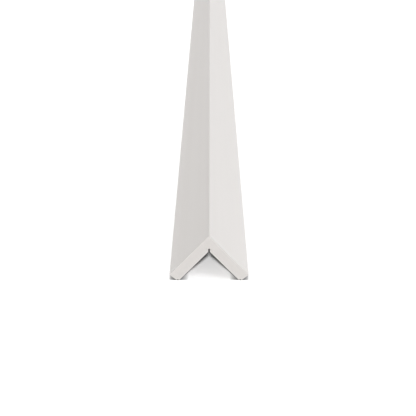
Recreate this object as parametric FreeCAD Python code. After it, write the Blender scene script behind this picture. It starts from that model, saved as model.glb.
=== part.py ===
import FreeCAD, Part
import math
import os

# Corner guard moulding: one extruded, L-shaped length of white cellular vinyl.
# Sizes are in millimetres. The moulding lies along Y on its two free edges, with
# its ridge up (+Z). The origin is the bottom centre of its bounding box.

# Stock size
LEG_WIDTH = 28.575          # outer face of a leg, from the ridge to its free edge
THICKNESS = 5.556           # leg, from its outer face to its inner face
LENGTH = 2438.4             # stock length

# Ridge, where the outer faces of the two legs meet
RIDGE_RADIUS = 0.5

# Free edge of each leg. Its end face leans back towards the inner face, and a
# step along the inner face leaves a thin lip that stops short of it.
EDGE_RADIUS = 0.4           # easing of the outer corner
EDGE_LEAN = 7.0             # degrees off square
LIP_THICKNESS = 0.85
LIP_SETBACK = 0.85
LIP_RADIUS = 0.2            # easing of the corners beside the step

# Relief groove in the inner corner, which clears the wall's own corner. It is a
# narrow throat that opens into a square-sided head, turned corner up.
THROAT_WIDTH = 0.85
THROAT_DEPTH = 0.7
RELIEF_WIDTH = 1.5          # across the head, corner to corner
RELIEF_RADIUS = 0.15

SLOPE = math.sqrt(0.5)      # sine and cosine of 45 degrees, the slope of each leg


def leg_point(along, depth):
    """Point of the right leg: along it from the ridge, and in from its outer face."""
    return FreeCAD.Vector((along - depth) * SLOPE, 0, -(along + depth) * SLOPE)


def inner_point(across, up):
    """Point beside the inner corner: across from the middle, and up from the corner."""
    return leg_point(THICKNESS, THICKNESS) + FreeCAD.Vector(across, 0, up)


def free_edge():
    """Corners of the right leg's free edge, from its outer face to its inner one."""
    lean = math.tan(math.radians(EDGE_LEAN))
    step_depth = THICKNESS - LIP_THICKNESS
    step_along = LEG_WIDTH - lean * step_depth
    lip_along = LEG_WIDTH - lean * THICKNESS - LIP_SETBACK
    step_foot = step_along - LIP_SETBACK
    return [
        (leg_point(LEG_WIDTH, 0), EDGE_RADIUS),
        (leg_point(step_along, step_depth), LIP_RADIUS),
        (leg_point(step_foot, step_depth), 0),
        (leg_point(lip_along, THICKNESS), LIP_RADIUS),
    ]


def shoulder_height():
    """Height of the relief head's widest place above the inner corner."""
    return THROAT_DEPTH - THROAT_WIDTH / 2 + (RELIEF_WIDTH - THROAT_WIDTH) / 2


def relief():
    """Corners of the right half of the relief groove, from its mouth to its head."""
    mouth = -THROAT_WIDTH / 2
    return [
        (inner_point(THROAT_WIDTH / 2, mouth), 0),
        (inner_point(THROAT_WIDTH / 2, mouth + THROAT_DEPTH), 0),
        (inner_point(RELIEF_WIDTH / 2, shoulder_height()), RELIEF_RADIUS),
    ]


def relief_top():
    """Top corner of the relief groove's head, on the middle plane."""
    return (inner_point(0, shoulder_height() + RELIEF_WIDTH / 2), RELIEF_RADIUS)


def mirrored(corners):
    """The same corners on the left leg, in the order that goes back to the ridge."""
    flipped = [(FreeCAD.Vector(-point.x, 0, point.z), radius) for point, radius in corners]
    return flipped[::-1]


def rounded(corners):
    """Closed wire through the corners, each rounded by a tangent arc of its radius."""
    starts, ends, arcs = [], [], []
    for index, (point, radius) in enumerate(corners):
        before = (corners[index - 1][0] - point).normalize()
        after = (corners[(index + 1) % len(corners)][0] - point).normalize()
        half_angle = before.getAngle(after) / 2
        reach = radius / math.tan(half_angle)
        starts.append(point + before * reach)
        ends.append(point + after * reach)
        if radius:
            bisector = (before + after).normalize()
            middle = point + bisector * (radius / math.sin(half_angle) - radius)
            arcs.append(Part.Arc(starts[-1], middle, ends[-1]).toShape())
        else:
            arcs.append(None)
    edges = []
    for index, arc in enumerate(arcs):
        if arc:
            edges.append(arc)
        edges.append(Part.LineSegment(ends[index], starts[(index + 1) % len(starts)]).toShape())
    return Part.Wire(edges)


def section():
    """Cross-section of the moulding, with its ridge corner at the origin."""
    right = free_edge() + relief()
    ridge = (leg_point(0, 0), RIDGE_RADIUS)
    return rounded([ridge] + right + [relief_top()] + mirrored(right))


def corner_guard():
    """The moulding, sawn square at both ends and set down on its free edges."""
    outline = section()
    outline.translate(FreeCAD.Vector(0, -LENGTH / 2, -outline.BoundBox.ZMin))
    return Part.Face(outline).extrude(FreeCAD.Vector(0, LENGTH, 0))


os.makedirs("parts", exist_ok=True)
guard = corner_guard()
guard.exportStep("parts/corner_guard.step")
box = guard.BoundBox
print("corner_guard valid", guard.isValid(), "volume cm3", round(guard.Volume / 1000, 1))
print("box", box.XMin, box.XMax, box.YMin, box.YMax, box.ZMin, box.ZMax)
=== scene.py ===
import math

import bpy
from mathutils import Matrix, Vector


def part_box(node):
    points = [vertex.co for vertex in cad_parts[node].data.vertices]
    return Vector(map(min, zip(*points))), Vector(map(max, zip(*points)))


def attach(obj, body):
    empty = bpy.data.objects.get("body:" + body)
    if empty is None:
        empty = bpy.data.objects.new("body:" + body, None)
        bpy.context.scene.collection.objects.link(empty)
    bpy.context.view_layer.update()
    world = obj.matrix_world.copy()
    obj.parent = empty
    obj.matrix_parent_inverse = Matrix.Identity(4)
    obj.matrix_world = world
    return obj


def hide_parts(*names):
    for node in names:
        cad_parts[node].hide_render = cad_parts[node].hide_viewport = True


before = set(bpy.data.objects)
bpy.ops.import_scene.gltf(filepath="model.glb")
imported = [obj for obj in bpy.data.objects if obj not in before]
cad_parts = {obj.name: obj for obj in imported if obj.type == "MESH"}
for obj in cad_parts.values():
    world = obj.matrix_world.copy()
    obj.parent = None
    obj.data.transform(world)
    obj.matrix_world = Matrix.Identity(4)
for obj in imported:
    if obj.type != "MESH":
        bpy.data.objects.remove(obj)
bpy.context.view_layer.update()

# The moulding lies along Y with its ridge up. Lengths are in metres.
LOW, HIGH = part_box("corner_guard")
NEAR_END, FAR_END = LOW.y, HIGH.y

# The moulding's section, at the sizes of the solid that it dresses
LEG_WIDTH = 0.028575
THICKNESS = 0.005556
RIDGE_RADIUS = 0.0005
EDGE_RADIUS = 0.0004
EDGE_LEAN = math.radians(7)
LIP_THICKNESS = 0.00085
LIP_SETBACK = 0.00085
LIP_RADIUS = 0.0002
THROAT_WIDTH = 0.00085
THROAT_DEPTH = 0.0007
RELIEF_WIDTH = 0.0015
RELIEF_RADIUS = 0.00015
SAWN_ARRIS = 0.00012        # break on the outline of each sawn end

MM = 0.001
WELD = MM / 1000            # points this near each other are one point
NEARBY = MM / 50            # ends this near a corner belong to it
FLAT_ANGLE = math.radians(1)        # faces this near one plane are one face
SMOOTH_ANGLE = math.radians(35)     # edges up to this angle shade as one rounding

# Worked out from the sizes: the sharp ridge's height before it is rounded, how far in
# from the outer face the step lies, and how far up from the inner corner the relief
# groove is widest
SLOPE = math.sqrt(0.5)      # sine and cosine of 45 degrees, the slope of each leg
RIDGE_CORNER = HIGH.z + RIDGE_RADIUS * (1 / SLOPE - 1)
STEP_DEPTH = THICKNESS - LIP_THICKNESS
SHOULDER = THROAT_DEPTH - THROAT_WIDTH / 2 + (RELIEF_WIDTH - THROAT_WIDTH) / 2

# The vinyl's finish, in millimetres
SKIN = 0.8                  # dense skin on the foamed core
CELL_PITCH = 0.26           # across the foam's cells
TOOTH_PITCH = 0.9           # between saw marks
BLADE_CENTRE = (-70, 0, 60)         # middle of the saw blade that cut the ends
MASK_MARGIN = 0.02          # by which the sawn finish passes the break of its outline
DIE_LINE_HEIGHT = 0.02      # fine lines that the die leaves along the faces
DIE_WAVE_HEIGHT = 0.08      # broad waves between them
GRAIN_HEIGHT = 0.002
TOOTH_DEPTH = 0.015
TORN_HEIGHT = 0.02          # foam that the saw tore
PIT_DEPTH = 0.05            # cells that the saw opened

# Its noise, in blobs to the millimetre. The stretches draw some of it out lengthwise:
# each is the share of a length along the moulding that counts in it.
FINE_LINES = 1.6
BROAD_LINES = 0.25
CLOUDS = 0.05
GRAINS = 2.5
TORN_SPOTS = 0.8
CELL_SPOTS = 1.1            # where the foam's cells are large or small
LINE_STRETCH = 0.0015
CLOUD_STRETCH = 0.2

# Its gloss and colours
FACE_ROUGHNESS = 0.27
END_ROUGHNESS = 0.70
VINYL_IOR = 1.53
FACE_PALE = (0.857, 0.821, 0.792, 1)
FACE_DEEP = (0.837, 0.801, 0.772, 1)
FACE_CLOUD = (0.822, 0.784, 0.752, 1)
CORE_TONE = (0.822, 0.785, 0.750, 1)
SKIN_TONE = (0.862, 0.829, 0.798, 1)
# painted shade in the foam cells that the saw opened
PAINTED_PIT_SHADE = (0.62, 0.60, 0.57, 1)

# The photograph's view: pixels of a square frame, from its top left corner
IMAGE_SIDE = 416
SENSOR = 36.0               # millimetres
NEAR_CLIP, FAR_CLIP = 0.05, 200
PITCH = math.radians(12.1)
VANISHING_POINT = Vector((210.1, -176.3))
RIDGE_END = Vector((209.1, 236.3))
NEAR_HALF_WIDTH = 39.6

# Studio light. The surround's strength is 1 at full white, and the lamps' strengths are
# in watts to the square metre. Spreads and heights are in degrees.
SURROUND = 0.45
SURROUND_COLOUR = (1.0, 0.97, 0.935, 1)
KEY_FROM = (0.44, -0.70, 0.56)
KEY_STRENGTH = 1.31
KEY_SPREAD = 40
KEY_COLOUR = (0.96, 1.0, 1.05)
LOW_LAMP_HEIGHT = 15.9
LOW_LAMP_SPREAD = 2.0
LOW_LAMP_STRENGTH = 8.0
TOP_LAMP_SPREAD = 5.0
TOP_LAMP_STRENGTH = 2.2

# Floor
FLOOR_SIDE = 120
FLOOR_GAP = MM / 100        # below the free edges
FLOOR_COLOUR = (0.36, 0.36, 0.36, 1)    # as it lights the moulding
FLOOR_SHOWN = (0.74, 0.74, 0.74, 1)     # as it is seen
FLOOR_GLOW = 0.08
CONTACT_REACH = 3.4 * MM    # how far the painted shade reaches on the floor beside the moulding
CONTACT_SAMPLES = 16


def show_only(obj):
    """Deselects everything but obj, and makes it the active object."""
    bpy.ops.object.select_all(action="DESELECT")
    obj.select_set(True)
    bpy.context.view_layer.objects.active = obj


def add_camera():
    """Camera at the photograph's angle, framed on the near end of the ridge."""
    centre = IMAGE_SIDE / 2
    focal = (centre - VANISHING_POINT.y) / math.tan(PITCH)
    yaw = math.atan2((VANISHING_POINT.x - centre) * math.cos(PITCH), focal)
    level = Vector((-math.sin(yaw), math.cos(yaw), 0))
    forward = level * math.cos(PITCH) - Vector((0, 0, math.sin(PITCH)))
    right = Vector((math.cos(yaw), math.sin(yaw), 0))
    up = right.cross(forward)
    depth = focal * HIGH.x / NEAR_HALF_WIDTH
    across, down = RIDGE_END.x - centre, RIDGE_END.y - centre
    ray = forward + right * across / focal - up * down / focal
    bpy.ops.object.camera_add(location=Vector((0, NEAR_END, HIGH.z)) - ray * depth)
    camera = bpy.context.object
    camera.name = "photo_camera"
    camera.rotation_mode = "QUATERNION"
    camera.rotation_quaternion = forward.to_track_quat("-Z", "Y")
    camera.data.sensor_width = SENSOR
    camera.data.lens = SENSOR * focal / IMAGE_SIDE
    camera.data.clip_start = NEAR_CLIP
    camera.data.clip_end = FAR_CLIP
    bpy.context.scene.camera = camera


def cut(point, normal, **sides):
    """Bisects the selected faces of the mesh in edit mode with a plane."""
    bpy.ops.mesh.bisect(plane_co=point, plane_no=normal, **sides)


def select_faces(obj, wanted):
    """Selects, in edit mode, the faces whose centre passes the test."""
    bpy.ops.object.mode_set(mode="OBJECT")
    for face in obj.data.polygons:
        face.select = wanted(face.center)
    for edge in obj.data.edges:
        edge.select = False
    for vertex in obj.data.vertices:
        vertex.select = False
    bpy.ops.object.mode_set(mode="EDIT")
    bpy.ops.mesh.select_mode(type="FACE")


def select_edges(obj, wanted):
    """Selects, in edit mode, the edges whose two ends pass the test."""
    bpy.ops.mesh.select_mode(type="EDGE")
    bpy.ops.mesh.select_all(action="DESELECT")
    bpy.ops.object.mode_set(mode="OBJECT")
    points = obj.data.vertices
    for edge in obj.data.edges:
        edge.select = wanted(*(points[index].co for index in edge.vertices))
    bpy.ops.object.mode_set(mode="EDIT")


def flat_leg():
    """Section of the right leg laid flat: +X is along it, -Z in from its outer face."""
    bpy.ops.mesh.primitive_plane_add(size=1, rotation=(math.pi / 2, 0, 0))
    leg = bpy.context.object
    leg.scale = (LEG_WIDTH, THICKNESS, 1)
    leg.location = (LEG_WIDTH / 2, 0, -THICKNESS / 2)
    bpy.ops.object.transform_apply(location=True, rotation=True, scale=True)
    bpy.ops.object.mode_set(mode="EDIT")
    bpy.ops.mesh.select_all(action="SELECT")
    return leg


def cut_mitre():
    """Cuts the leg where it meets the other one, on the moulding's middle plane."""
    cut((0, 0, 0), (SLOPE, 0, SLOPE), clear_inner=True)


def cut_free_edge(leg):
    """Leans the leg's end face back, and steps it where the thin lip stops short."""
    lean = Vector((math.cos(EDGE_LEAN), 0, -math.sin(EDGE_LEAN)))
    lip_end = Vector((LEG_WIDTH - LIP_SETBACK, 0, 0))

    def on_lip_side(centre):
        return centre.z < -STEP_DEPTH

    bpy.ops.mesh.select_all(action="SELECT")
    cut((LEG_WIDTH, 0, 0), lean, clear_outer=True)
    bpy.ops.mesh.select_all(action="SELECT")
    cut((0, 0, -STEP_DEPTH), (0, 0, 1))
    select_faces(leg, on_lip_side)
    cut(lip_end, lean)
    select_faces(leg, lambda centre: on_lip_side(centre) and (centre - lip_end).dot(lean) > 0)
    bpy.ops.mesh.delete(type="ONLY_FACE")
    bpy.ops.mesh.select_all(action="SELECT")
    bpy.ops.mesh.delete_loose(use_verts=True, use_edges=True, use_faces=False)


def cut_relief(leg):
    """Cuts the relief groove's square head and its throat out of the inner corner."""
    head_top = THICKNESS - (SHOULDER + RELIEF_WIDTH / 2) * SLOPE
    head_end = head_top + RELIEF_WIDTH * SLOPE
    throat_side = THROAT_WIDTH / 2 * SLOPE
    for point, normal in (
        ((head_end, 0, 0), (1, 0, 0)),
        ((0, 0, -head_top), (0, 0, 1)),
        ((throat_side, 0, throat_side), (SLOPE, 0, SLOPE)),
    ):
        bpy.ops.mesh.select_all(action="SELECT")
        cut(point, normal)

    def in_relief(centre):
        in_head = centre.x < head_end
        in_throat = (centre.x + centre.z) * SLOPE < THROAT_WIDTH / 2
        return centre.z < -head_top and (in_head or in_throat)

    select_faces(leg, in_relief)
    bpy.ops.mesh.delete(type="FACE")


def whole_section(leg):
    """Turns the flat leg to its slope, lifts it to the ridge and mirrors it."""
    bpy.ops.object.mode_set(mode="OBJECT")
    leg.rotation_euler = (0, math.pi / 4, 0)
    leg.location = (0, NEAR_END, RIDGE_CORNER)
    bpy.ops.object.transform_apply(location=True, rotation=True, scale=True)
    mirror = leg.modifiers.new("other_leg", "MIRROR")
    mirror.use_axis = (True, False, False)
    mirror.merge_threshold = WELD
    bpy.ops.object.modifier_apply(modifier=mirror.name)
    bpy.ops.object.mode_set(mode="EDIT")
    bpy.ops.mesh.select_all(action="SELECT")
    bpy.ops.mesh.remove_doubles(threshold=WELD)
    bpy.ops.mesh.dissolve_limited(angle_limit=FLAT_ANGLE)


def section_corner(along, depth):
    """Place in X and Z of a corner of the right leg's section."""
    return Vector(((along - depth) * SLOPE, RIDGE_CORNER - (along + depth) * SLOPE))


def round_lengthwise(guard, corner, radius, angle, segments):
    """Rounds the lengthwise edges at a corner of the section, on both legs. The angle is
    the one between the corner's two faces."""
    def at_corner(*ends):
        return all((Vector((abs(end.x), end.z)) - corner).length < NEARBY for end in ends)

    select_edges(guard, at_corner)
    reach = radius / math.tan(angle / 2)
    bpy.ops.mesh.bevel(offset_type="OFFSET", offset=reach, segments=segments, profile=0.5)


def round_corners(guard):
    """Rounds the ridge, the free edges and the relief groove, as the solid has them."""
    square = math.pi / 2
    acute, obtuse = square - EDGE_LEAN, square + EDGE_LEAN
    lean = math.tan(EDGE_LEAN)
    step_along = LEG_WIDTH - lean * STEP_DEPTH
    lip_along = LEG_WIDTH - LIP_SETBACK - lean * THICKNESS
    shoulder_z = RIDGE_CORNER - THICKNESS / SLOPE + SHOULDER
    half_head = RELIEF_WIDTH / 2
    for corner, radius, angle, segments in (
        (section_corner(0, 0), RIDGE_RADIUS, square, 8),
        (section_corner(LEG_WIDTH, 0), EDGE_RADIUS, acute, 8),
        (section_corner(step_along, STEP_DEPTH), LIP_RADIUS, obtuse, 4),
        (section_corner(lip_along, THICKNESS), LIP_RADIUS, obtuse, 4),
        (Vector((half_head, shoulder_z)), RELIEF_RADIUS, square, 4),
        (Vector((0, shoulder_z + half_head)), RELIEF_RADIUS, square, 4),
    ):
        round_lengthwise(guard, corner, radius, angle, segments)


def break_sawn_ends(guard):
    """Takes the sharp arris off the outline of the two sawn ends."""
    def on_an_end(first, second):
        gaps = (abs(first.y - end) + abs(second.y - end) for end in (NEAR_END, FAR_END))
        return min(gaps) < NEARBY

    select_edges(guard, on_an_end)
    bpy.ops.mesh.bevel(offset_type="OFFSET", offset=SAWN_ARRIS, segments=2, profile=0.5)


def shade(guard):
    """Shades the roundings smooth, and keeps the faces between them flat."""
    show_only(guard)
    bpy.ops.object.shade_smooth_by_angle(angle=SMOOTH_ANGLE)
    flat_faces = guard.modifiers.new("flat_faces", "WEIGHTED_NORMAL")
    flat_faces.keep_sharp = True
    bpy.ops.object.modifier_apply(modifier=flat_faces.name)


def build_guard():
    """The moulding: its section drawn out to length, with rounded corners."""
    guard = flat_leg()
    cut_mitre()
    cut_free_edge(guard)
    cut_relief(guard)
    whole_section(guard)
    bpy.ops.mesh.select_all(action="SELECT")
    length = (0, FAR_END - NEAR_END, 0)
    bpy.ops.mesh.extrude_region_move(TRANSFORM_OT_translate={"value": length})
    bpy.ops.mesh.select_all(action="SELECT")
    bpy.ops.mesh.normals_make_consistent(inside=False)
    round_corners(guard)
    break_sawn_ends(guard)
    bpy.ops.object.mode_set(mode="OBJECT")
    shade(guard)
    guard.name = guard.data.name = "corner_guard_moulding"
    return guard


class Wire:
    """An output of a finish's nodes. A sum written with wires adds its Math nodes."""

    def __init__(self, finish, socket):
        self.finish = finish
        self.socket = socket

    def sum(self, operation, *values):
        inputs = dict(enumerate(values))
        return self.finish.node("ShaderNodeMath", {"operation": operation}, inputs)

    def out(self, name):
        """Another output of the same node."""
        return Wire(self.finish, self.socket.node.outputs[name])

    def least(self, other):
        return self.sum("MINIMUM", self, other)

    def wave(self):
        return self.sum("SINE", self)

    def __abs__(self):
        return self.sum("ABSOLUTE", self)

    def __add__(self, other):
        return self.sum("ADD", self, other)

    def __radd__(self, other):
        return self.sum("ADD", other, self)

    def __sub__(self, other):
        return self.sum("SUBTRACT", self, other)

    def __rsub__(self, other):
        return self.sum("SUBTRACT", other, self)

    def __mul__(self, other):
        return self.sum("MULTIPLY", self, other)

    def __rmul__(self, other):
        return self.sum("MULTIPLY", other, self)

    def __truediv__(self, other):
        return self.sum("DIVIDE", self, other)

    def __rtruediv__(self, other):
        return self.sum("DIVIDE", other, self)

    def __gt__(self, other):
        return self.sum("GREATER_THAN", self, other)

    def __lt__(self, other):
        return self.sum("LESS_THAN", self, other)


class Finish:
    """The nodes of a material, or of the world around the moulding."""

    def __init__(self, owner):
        owner.use_nodes = True
        self.tree = owner.node_tree
        self.tree.nodes.clear()

    def node(self, kind, settings=None, inputs=None, output=0):
        """Adds a node: its settings first, then the values or wires of its inputs."""
        made = self.tree.nodes.new(kind)
        for name, value in (settings or {}).items():
            setattr(made, name, value)
        for name, value in (inputs or {}).items():
            if isinstance(value, Wire):
                self.tree.links.new(value.socket, made.inputs[name])
            else:
                made.inputs[name].default_value = value
        return None if output is None else Wire(self, made.outputs[output])

    def noise(self, place, scale, detail=2.0, roughness=0.5):
        """Noise from 0 to 1 at a place, with this many blobs to the millimetre."""
        inputs = {"Vector": place, "Scale": scale, "Detail": detail, "Roughness": roughness}
        return self.node("ShaderNodeTexNoise", None, inputs)

    def mix(self, factor, first, second):
        """A colour between two, by a factor from 0 to 1. The Mix node has more sockets of
        each name, so its colours go by number."""
        inputs = {0: factor, 6: first, 7: second}
        return self.node("ShaderNodeMix", {"data_type": "RGBA"}, inputs, 2)

    def clamp(self, value):
        """A value held between 0 and 1."""
        return self.node("ShaderNodeClamp", None, {"Value": value})

    def vector(self, operation, inputs):
        """Vector Math."""
        return self.node("ShaderNodeVectorMath", {"operation": operation}, inputs)

    def use(self, surface, kind="ShaderNodeOutputMaterial"):
        """Makes a shader the surface of the material or world."""
        self.node(kind, None, {"Surface": surface}, None)


def place_in_mm(finish):
    """Place on the piece, in millimetres from the frame's origin."""
    place = finish.node("ShaderNodeTexCoord").out("Object")
    return finish.vector("SCALE", {0: place, "Scale": 1 / MM})


def stretched(finish, place, stretch):
    """The place with its length along Y shortened, so that noise on it runs lengthwise."""
    return finish.vector("MULTIPLY", {0: place, 1: (1, stretch, 1)})


def sawn_mask(finish, y):
    """1 on the two sawn ends, and 0 along the moulding."""
    return abs(y) > (FAR_END - SAWN_ARRIS) / MM - MASK_MARGIN


def skin_mask(finish, across, z):
    """1 in the dense skin along the section's outline, fading to 0 in its foamed core."""
    drop = RIDGE_CORNER / MM - z
    depth = (drop - across) * SLOPE
    along = (drop + across) * SLOPE
    from_edge = LEG_WIDTH / MM - along - depth * math.tan(EDGE_LEAN)
    from_inner = abs(THICKNESS / MM - depth)
    return finish.clamp(1 - depth.least(from_inner).least(from_edge) / SKIN)


def white_vinyl():
    """Satin white cellular vinyl, with faint die lines along it and matt sawn ends, whose
    opened cells are darkened with painted shade.
    """
    vinyl = bpy.data.materials.new("white_vinyl")
    finish = Finish(vinyl)
    place = place_in_mm(finish)
    axes = finish.node("ShaderNodeSeparateXYZ", None, {"Vector": place})
    across, y, z = abs(axes.out("X")), axes.out("Y"), axes.out("Z")
    lengthwise = stretched(finish, place, LINE_STRETCH)
    fine_lines = finish.noise(lengthwise, FINE_LINES, 3.0, 0.6)
    broad_lines = finish.noise(lengthwise, BROAD_LINES)
    cloud = finish.noise(stretched(finish, place, CLOUD_STRETCH), CLOUDS)
    grain = finish.noise(place, GRAINS)

    sawn = sawn_mask(finish, y)
    skin = skin_mask(finish, across, z)
    core = 1 - skin
    blade = finish.vector("DISTANCE", {0: place, 1: BLADE_CENTRE}).out("Value")
    torn = finish.noise(place, TORN_SPOTS)
    teeth = (blade * (2 * math.pi / TOOTH_PITCH) + torn * 3).wave()
    pattern = {"Vector": place, "Scale": 1 / CELL_PITCH}
    cells = finish.node("ShaderNodeTexVoronoi", None, pattern)
    cell_size = 0.08 + finish.noise(place, CELL_SPOTS) * 0.45
    pit = finish.clamp((cell_size - cells.out("Distance")) * 6) * core

    # Each bare number in the tones and the roughness is one pattern's share in them.
    face_tone = finish.mix(fine_lines, FACE_PALE, FACE_DEEP)
    face_tone = finish.mix(finish.clamp(cloud * 2 - 0.6) * 0.35, face_tone, FACE_CLOUD)
    end_tone = finish.mix(skin, CORE_TONE, SKIN_TONE)
    # Painted shade: the opened cells are darkened in colour, on top of their bump.
    end_tone = finish.mix(pit * 0.30, end_tone, PAINTED_PIT_SHADE)
    tone = finish.mix(sawn, face_tone, end_tone)

    face_roughness = FACE_ROUGHNESS + fine_lines * 0.08 + broad_lines * 0.10
    end_roughness = END_ROUGHNESS + torn * 0.15 - teeth * 0.05
    roughness = face_roughness * (1 - sawn) + end_roughness * sawn

    die_marks = fine_lines * DIE_LINE_HEIGHT + broad_lines * DIE_WAVE_HEIGHT
    face_height = die_marks + grain * GRAIN_HEIGHT
    end_height = teeth * TOOTH_DEPTH + torn * TORN_HEIGHT - pit * PIT_DEPTH
    height = face_height * (1 - sawn) + end_height * sawn
    bump = {"Strength": 1.0, "Distance": MM, "Height": height}
    relief = finish.node("ShaderNodeBump", None, bump)
    surface = finish.node("ShaderNodeBsdfPrincipled", None, {
        "Base Color": tone, "Roughness": roughness, "Normal": relief, "IOR": VINYL_IOR,
    })
    finish.use(surface)
    return vinyl


def backdrop_rays(finish):
    """1 for the rays that see the backdrop, and 0 for those that light the moulding."""
    path = finish.node("ShaderNodeLightPath")
    seen = path.out("Is Camera Ray") + path.out("Is Glossy Ray")
    return finish.clamp(seen + path.out("Is Transmission Ray"))


def pale_floor():
    """Matt white floor, seen white where it is open, darker in the moulding's shadow, and
    darkened near the moulding with painted shade.
    """
    floor = bpy.data.materials.new("pale_floor")
    finish = Finish(floor)
    lit = finish.node("ShaderNodeBsdfDiffuse", None, {"Color": FLOOR_COLOUR})
    reach = {"Color": FLOOR_SHOWN, "Distance": CONTACT_REACH}
    samples = {"samples": CONTACT_SAMPLES}
    # Painted shade: ambient occlusion darkens the floor's seen colour near the moulding.
    painted_contact_shade = finish.node("ShaderNodeAmbientOcclusion", samples, reach)
    shown = finish.node("ShaderNodeBsdfDiffuse", None, {"Color": painted_contact_shade})
    glow = finish.node("ShaderNodeEmission", None, {"Color": painted_contact_shade, "Strength": FLOOR_GLOW})
    bright = finish.node("ShaderNodeAddShader", None, {0: shown, 1: glow})
    by_ray = {0: backdrop_rays(finish), 1: lit, 2: bright}
    finish.use(finish.node("ShaderNodeMixShader", None, by_ray))
    return floor


def add_floor():
    """Plain pale floor at the level that the moulding rests on."""
    bpy.ops.mesh.primitive_plane_add(size=FLOOR_SIDE, location=(0, 0, LOW.z - FLOOR_GAP))
    floor = bpy.context.object
    floor.name = "floor"
    floor.data.materials.append(pale_floor())
    return floor


def add_surround():
    """Even, pale light from all round, behind a white backdrop."""
    studio = bpy.data.worlds.new("studio")
    bpy.context.scene.world = studio
    finish = Finish(studio)
    even = {"Color": SURROUND_COLOUR, "Strength": SURROUND}
    light = finish.node("ShaderNodeBackground", None, even)
    white = finish.node("ShaderNodeBackground", None, {"Color": (1, 1, 1, 1), "Strength": 1})
    by_ray = {0: backdrop_rays(finish), 1: light, 2: white}
    finish.use(finish.node("ShaderNodeMixShader", None, by_ray), "ShaderNodeOutputWorld")


def add_lamp(name, source, strength, spread, colour=(1, 1, 1)):
    """A far lamp, shining from a direction, that looks as wide as its spread."""
    turn = Vector(source).to_track_quat("Z", "Y").to_euler()
    bpy.ops.object.light_add(type="SUN", rotation=turn)
    lamp = bpy.context.object
    lamp.name = name
    lamp.data.energy = strength
    lamp.data.angle = math.radians(spread)
    lamp.data.color = colour
    return lamp


def add_lights(floor):
    """Soft studio light from above, right and front. Two more lamps light the floor alone:
    a low one that reaches in between the moulding's legs, and one from straight above that
    fills the low one's shadow."""
    add_surround()
    add_lamp("key_lamp", KEY_FROM, KEY_STRENGTH, KEY_SPREAD, KEY_COLOUR)
    height = math.radians(LOW_LAMP_HEIGHT)
    low = (0, -math.cos(height), math.sin(height))
    only_floor = bpy.data.collections.new("only_floor")
    only_floor.objects.link(floor)
    for name, source, strength, spread in (
        ("low_floor_lamp", low, LOW_LAMP_STRENGTH, LOW_LAMP_SPREAD),
        ("top_floor_lamp", (0, 0, 1), TOP_LAMP_STRENGTH, TOP_LAMP_SPREAD),
    ):
        lamp = add_lamp(name, source, strength, spread)
        lamp.light_linking.receiver_collection = only_floor


add_camera()
guard = build_guard()
guard.data.materials.append(white_vinyl())
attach(guard, "root")
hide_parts("corner_guard")
add_lights(add_floor())

bpy.context.scene.view_settings.view_transform = "Standard"
